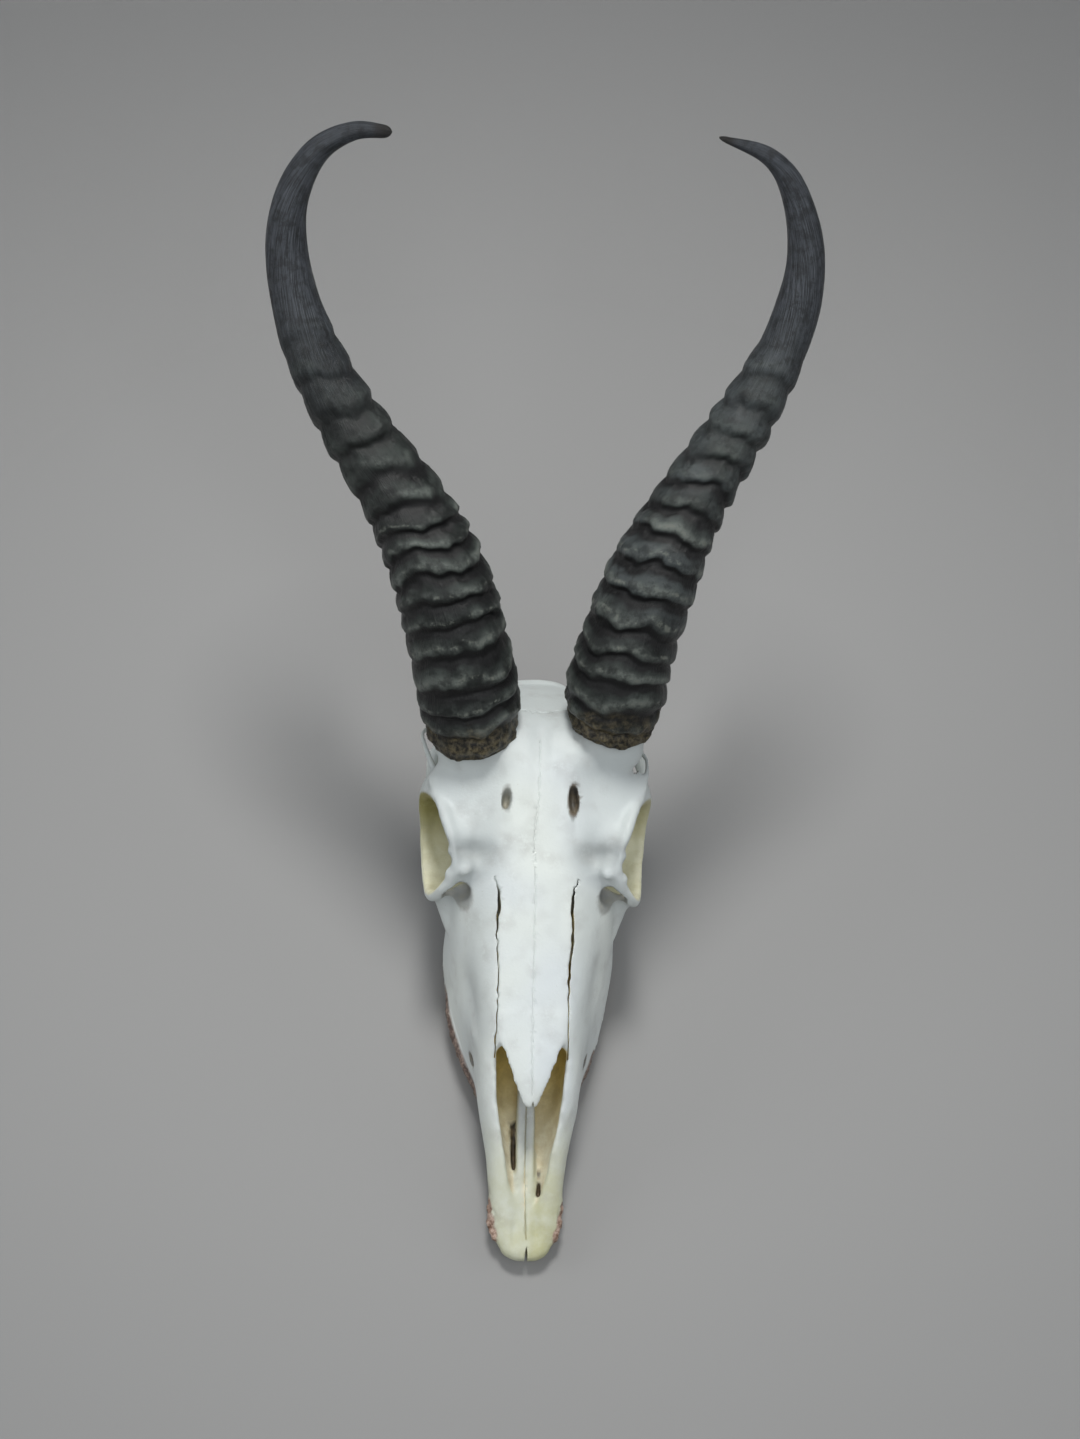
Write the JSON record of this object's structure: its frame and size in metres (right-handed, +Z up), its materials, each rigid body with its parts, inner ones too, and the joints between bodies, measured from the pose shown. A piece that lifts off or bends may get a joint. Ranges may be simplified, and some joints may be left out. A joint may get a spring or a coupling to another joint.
{
  "type": "springbok skull with horns",
  "caption": "Antelope skull without its lower jaw, with two ringed lyre-shaped horns and upper cheek teeth; it rests on the teeth and on two bony processes at the back.",
  "frame": {"origin": "centre of the bounding box's bottom face, on the surface that the skull rests on", "axes": "+Z up; -Y is the way the nose points; +X is to the right of a person who faces the skull; the horns rise backwards, towards +Y"},
  "size_m": [0.2214, 0.3636, 0.2784],
  "materials": {
    "bone": "matte",
    "horn": "satin",
    "tooth": "satin"
  },
  "bodies": {
    "root": {"skull": "bone", "horn_left": "horn", "horn_right": "horn", "tooth_left_p2": "tooth", "tooth_left_p3": "tooth", "tooth_left_p4": "tooth", "tooth_left_m1": "tooth", "tooth_left_m2": "tooth", "tooth_left_m3": "tooth", "tooth_right_p2": "tooth", "tooth_right_p3": "tooth", "tooth_right_p4": "tooth", "tooth_right_m1": "tooth", "tooth_right_m2": "tooth", "tooth_right_m3": "tooth"}
  },
  "joints": []
}
